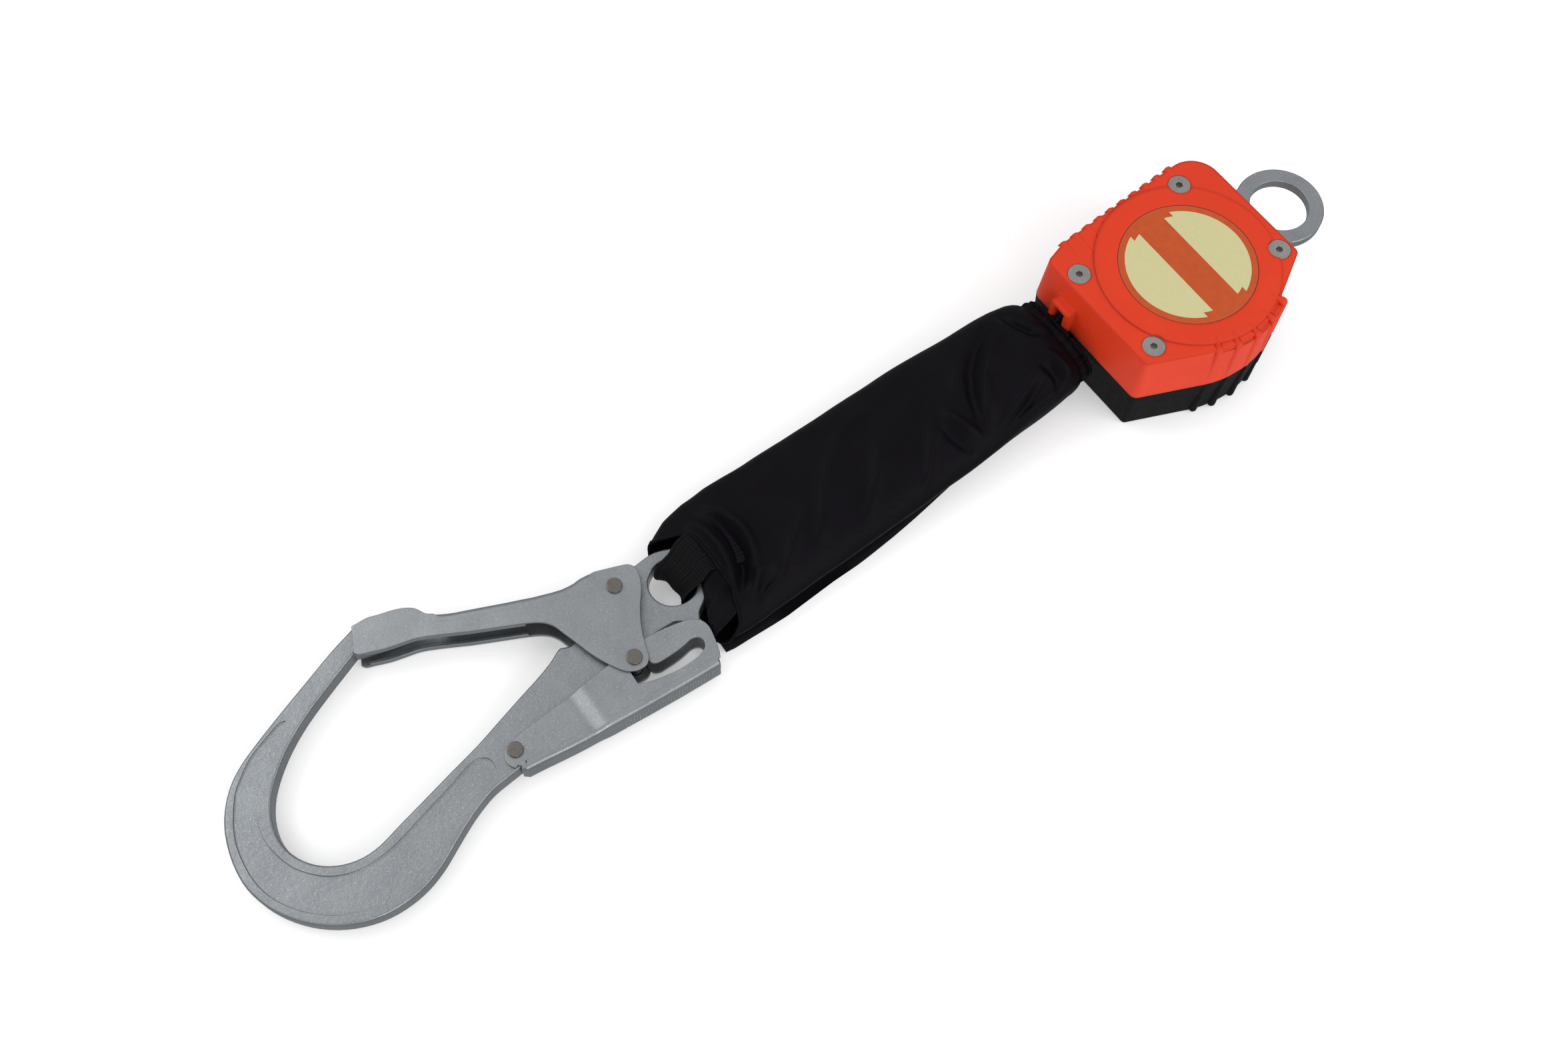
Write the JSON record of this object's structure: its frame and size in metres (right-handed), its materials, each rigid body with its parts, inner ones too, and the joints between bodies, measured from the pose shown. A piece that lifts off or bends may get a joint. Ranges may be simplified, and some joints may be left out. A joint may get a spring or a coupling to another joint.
{
  "type": "self retracting lifeline",
  "caption": "Webbing self retracting lifeline: two-shell housing with anchor eye, sleeved energy absorber and forged scaffold hook with riveted gate and locking lever.",
  "frame": {"origin": "centre of the anchor eye bore, at the housing's mid-plane", "axes": "+X along the load line from the hook towards the anchor, +Z out of the housing's front face, so the device lies on its back"},
  "size_m": [0.5866, 0.1339, 0.056],
  "materials": {
    "orange_plastic": "moulded, satin",
    "black_plastic": "moulded, satin",
    "label_print": "printed film",
    "stainless": "stainless",
    "brass": "machined",
    "zinc_steel": "zinc plated",
    "rivet_steel": "plain rivet",
    "steel": "machined",
    "spring_steel": "spring temper",
    "natural_plastic": "moulded nylon",
    "black_webbing": "ribbed woven webbing",
    "black_nylon": "coated nylon cloth",
    "black_elastic": "elastic cord"
  },
  "bodies": {
    "housing": {"front_shell": "orange_plastic", "rear_shell": "black_plastic", "front_label": "label_print", "housing_screws": "stainless", "threaded_inserts": "brass", "anchor_plate": "zinc_steel", "frame_plate_front": "zinc_steel", "frame_plate_rear": "zinc_steel", "anchor_pins": "steel", "guide_pins": "steel", "axle_bushes": "brass", "webbing_lead": "black_webbing", "ratchet_ring": "steel", "ring_rivets": "steel", "spring_case": "natural_plastic", "recoil_spring": "spring_steel"},
    "drum": {"axle": "steel", "drum_hub": "natural_plastic", "drum_flange_front": "natural_plastic", "drum_flange_rear": "natural_plastic", "webbing_coil": "black_webbing", "pawl_disc": "steel", "pawl_pins": "steel", "pawl_springs": "spring_steel", "axle_clip": "spring_steel"},
    "pawl_one": {"pawl_a": "steel"},
    "pawl_two": {"pawl_b": "steel"},
    "line": {"sleeve": "black_nylon", "neck_band": "black_elastic", "absorber_pack": "black_webbing", "webbing_tail": "black_webbing", "webbing_loop": "black_webbing"},
    "hook": {"hook_body": "zinc_steel", "gate_rivet": "rivet_steel", "lever_rivet": "rivet_steel", "gate_spring": "spring_steel", "lever_spring": "spring_steel"},
    "gate": {"gate": "zinc_steel", "slot_pin": "rivet_steel"},
    "lever": {"lever": "zinc_steel"}
  },
  "joints": [
    {"name": "line_payout", "type": "slide", "parent": "housing", "child": "line", "axis": [-1, 0, 0], "range_m": [0, 1.6], "deforming": ["webbing_tail", "webbing_lead"]},
    {"name": "drum_spin", "type": "hinge", "parent": "housing", "child": "drum", "pos_m": [-0.0749, -0.0086, 0], "axis": [0, 0, 1], "range_deg": [0, 3420], "deforming": ["recoil_spring"]},
    {"name": "pawl_one_swing", "type": "hinge", "parent": "drum", "child": "pawl_one", "pos_m": [-0.09087, -0.01441, 0.0205], "axis": [0, 0, -1], "range_deg": [0, 14], "deforming": ["pawl_springs"]},
    {"name": "pawl_two_swing", "type": "hinge", "parent": "drum", "child": "pawl_two", "pos_m": [-0.05893, -0.00279, 0.0205], "axis": [0, 0, -1], "range_deg": [0, 14]},
    {"name": "hook_swing", "type": "hinge", "parent": "line", "child": "hook", "pos_m": [-0.3335, 0.0136, -0.018], "axis": [0, 1, 0], "range_deg": [0, 75], "deforming": ["webbing_loop", "sleeve"]},
    {"name": "gate_open", "type": "hinge", "parent": "hook", "child": "gate", "pos_m": [-0.37, 0.0254, -0.018], "axis": [0, 0, 1], "range_deg": [0, 38], "deforming": ["gate_spring"]},
    {"name": "lever_squeeze", "type": "hinge", "parent": "hook", "child": "lever", "pos_m": [-0.4449, -0.0117, -0.018], "axis": [0, 0, 1], "range_deg": [0, 8], "deforming": ["lever_spring"]}
  ],
  "couplings": [
    {"joint": "drum_spin", "follows": "line_payout", "rad_per_m": 37.306},
    {"joint": "pawl_two_swing", "follows": "pawl_one_swing", "ratio": 1},
    {"joint": "lever_squeeze", "follows": "gate_open", "ratio": 0.21052}
  ]
}
